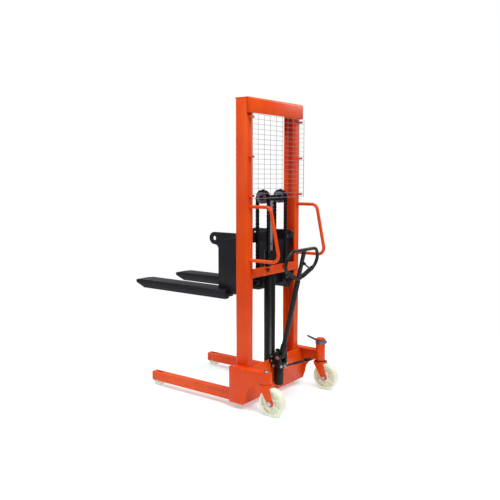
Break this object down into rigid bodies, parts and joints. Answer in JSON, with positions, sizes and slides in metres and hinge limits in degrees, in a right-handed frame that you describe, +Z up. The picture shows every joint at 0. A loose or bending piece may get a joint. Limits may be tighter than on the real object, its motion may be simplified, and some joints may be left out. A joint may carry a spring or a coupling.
{
  "type": "walkie stacker",
  "caption": "Hand-pumped pallet stacker: C-channel mast with chain-lifted fork carriage, straddle legs, swivel casters, wire guard and a looped pump tiller.",
  "frame": {"origin": "middle of the footprint on the floor", "axes": "+Z up, forks point along -Y, +X is the machine's left side"},
  "size_m": [0.7382, 1.361, 1.98],
  "materials": {
    "frame_paint": "gloss orange-red powder coat",
    "lift_paint": "satin black paint with a violet cast",
    "pump_paint": "semi-gloss black paint",
    "chain_steel": "oiled dark steel",
    "sheave_steel": "turned grey steel",
    "rod_chrome": "hard chrome",
    "zinc_steel": "zinc plated",
    "guard_wire": "zinc plated wire",
    "nylon": "cast ivory nylon",
    "grip_rubber": "ribbed black rubber",
    "brake_steel": "grey cast clamp"
  },
  "bodies": {
    "chassis": {"mast_channel_left": "frame_paint", "mast_channel_right": "frame_paint", "mast_top_beam": "frame_paint", "mast_cross_brace": "frame_paint", "rear_chain_anchors": "zinc_steel", "grab_handles": "frame_paint", "mesh_guard": "guard_wire", "guard_clips": "zinc_steel", "base_side_left": "frame_paint", "base_side_right": "frame_paint", "base_rear_plate": "frame_paint", "base_floor_plate": "frame_paint", "support_leg_left": "frame_paint", "support_leg_right": "frame_paint", "load_roller_pins": "zinc_steel", "caster_housing_left": "frame_paint", "caster_housing_right": "frame_paint", "housing_caps": "brake_steel", "cylinder_barrel": "pump_paint", "gland_nut": "pump_paint", "chain_rear": "chain_steel", "pump_block": "pump_paint", "pump_tank": "pump_paint", "pump_fittings": "zinc_steel", "pump_pins": "zinc_steel"},
    "ram": {"piston_rod": "rod_chrome", "crosshead": "pump_paint", "chain_wraps": "chain_steel", "chain_front": "chain_steel"},
    "sheave_left_body": {"sheave_left": "sheave_steel"},
    "sheave_right_body": {"sheave_right": "sheave_steel"},
    "carriage": {"carriage_side_left": "lift_paint", "carriage_side_right": "lift_paint", "carriage_bars": "lift_paint", "carriage_front_bar": "lift_paint", "front_chain_anchors": "lift_paint", "roller_pins": "zinc_steel", "fork_left": "lift_paint", "fork_right": "lift_paint"},
    "roller_low_left_body": {"roller_low_left": "sheave_steel"},
    "roller_high_left_body": {"roller_high_left": "sheave_steel"},
    "roller_low_right_body": {"roller_low_right": "sheave_steel"},
    "roller_high_right_body": {"roller_high_right": "sheave_steel"},
    "swivel_left": {"swivel_yoke_left": "frame_paint", "axle_bolt_left": "zinc_steel"},
    "swivel_right": {"swivel_yoke_right": "frame_paint", "axle_bolt_right": "zinc_steel", "brake_disc_right": "chain_steel"},
    "wheel_left": {"caster_wheel_left": "nylon"},
    "wheel_right": {"caster_wheel_right": "nylon"},
    "load_roller_left_body": {"load_roller_left": "nylon"},
    "load_roller_right_body": {"load_roller_right": "nylon"},
    "brake": {"brake_lever": "brake_steel"},
    "plunger": {"pump_plunger": "rod_chrome"},
    "pedal_body": {"pedal": "pump_paint"},
    "tiller": {"tiller_crank": "pump_paint", "tiller_shaft": "pump_paint", "tiller_loop": "pump_paint", "grips": "grip_rubber"},
    "release": {"release_lever": "pump_paint"}
  },
  "joints": [
    {"name": "ram_lift", "type": "slide", "parent": "chassis", "child": "ram", "axis": [0, 0, 1], "range_m": [-0.325, 0.42], "deforming": ["chain_rear"]},
    {"name": "carriage_lift", "type": "slide", "parent": "ram", "child": "carriage", "axis": [0, 0, 1], "range_m": [-0.325, 0.42], "deforming": ["chain_front"]},
    {"name": "sheave_spin_left", "type": "hinge", "parent": "ram", "child": "sheave_left_body", "pos_m": [0.1, 0.3495, 1.353], "axis": [1, 0, 0], "continuous": true},
    {"name": "sheave_spin_right", "type": "hinge", "parent": "ram", "child": "sheave_right_body", "pos_m": [-0.1, 0.3495, 1.353], "axis": [1, 0, 0], "continuous": true},
    {"name": "roller_low_left_spin", "type": "hinge", "parent": "carriage", "child": "roller_low_left_body", "pos_m": [0.2795, 0.327, 0.79], "axis": [1, 0, 0], "continuous": true},
    {"name": "roller_high_left_spin", "type": "hinge", "parent": "carriage", "child": "roller_high_left_body", "pos_m": [0.2795, 0.327, 1.076], "axis": [1, 0, 0], "continuous": true},
    {"name": "roller_low_right_spin", "type": "hinge", "parent": "carriage", "child": "roller_low_right_body", "pos_m": [-0.2795, 0.327, 0.79], "axis": [1, 0, 0], "continuous": true},
    {"name": "roller_high_right_spin", "type": "hinge", "parent": "carriage", "child": "roller_high_right_body", "pos_m": [-0.2795, 0.327, 1.076], "axis": [1, 0, 0], "continuous": true},
    {"name": "caster_swivel_left", "type": "hinge", "parent": "chassis", "child": "swivel_left", "pos_m": [0.3286, 0.5445, 0.195], "axis": [0, 0, 1], "continuous": true},
    {"name": "caster_spin_left", "type": "hinge", "parent": "swivel_left", "child": "wheel_left", "pos_m": [0.3286, 0.5905, 0.09], "axis": [1, 0, 0], "continuous": true},
    {"name": "load_roller_left_spin", "type": "hinge", "parent": "chassis", "child": "load_roller_left_body", "pos_m": [0.307, -0.4155, 0.037], "axis": [1, 0, 0], "continuous": true},
    {"name": "caster_swivel_right", "type": "hinge", "parent": "chassis", "child": "swivel_right", "pos_m": [-0.3286, 0.5445, 0.195], "axis": [0, 0, 1], "continuous": true},
    {"name": "caster_spin_right", "type": "hinge", "parent": "swivel_right", "child": "wheel_right", "pos_m": [-0.3286, 0.5905, 0.09], "axis": [1, 0, 0], "continuous": true},
    {"name": "load_roller_right_spin", "type": "hinge", "parent": "chassis", "child": "load_roller_right_body", "pos_m": [-0.307, -0.4155, 0.037], "axis": [1, 0, 0], "continuous": true},
    {"name": "brake_turn", "type": "hinge", "parent": "chassis", "child": "brake", "pos_m": [-0.3286, 0.5445, 0.335], "axis": [0, 0, 1], "range_deg": [0, 40]},
    {"name": "tiller_pump", "type": "hinge", "parent": "chassis", "child": "tiller", "pos_m": [0, 0.4365, 0.284], "axis": [1, 0, 0], "range_deg": [-45, 0], "stiffness_Nm_per_rad": 14, "springref_deg": 22.92},
    {"name": "plunger_slide", "type": "slide", "parent": "chassis", "child": "plunger", "axis": [0, 0, 1], "range_m": [0, 0.012]},
    {"name": "pedal_press", "type": "hinge", "parent": "chassis", "child": "pedal_body", "pos_m": [-0.065, 0.4085, 0.194], "axis": [0, 1, 0], "range_deg": [-8, 0], "stiffness_Nm_per_rad": 4, "springref_deg": 17.19},
    {"name": "release_squeeze", "type": "hinge", "parent": "tiller", "child": "release", "pos_m": [-0.024, 0.59695, 0.92428], "axis": [0, 0.9736, -0.2284], "range_deg": [0, 15], "stiffness_Nm_per_rad": 0.4, "springref_deg": -17.19}
  ],
  "couplings": [
    {"joint": "carriage_lift", "follows": "ram_lift", "ratio": 1},
    {"joint": "sheave_spin_left", "follows": "ram_lift", "rad_per_m": -22.472},
    {"joint": "sheave_spin_right", "follows": "ram_lift", "rad_per_m": -22.472},
    {"joint": "plunger_slide", "follows": "tiller_pump", "m_per_rad": -0.014}
  ]
}
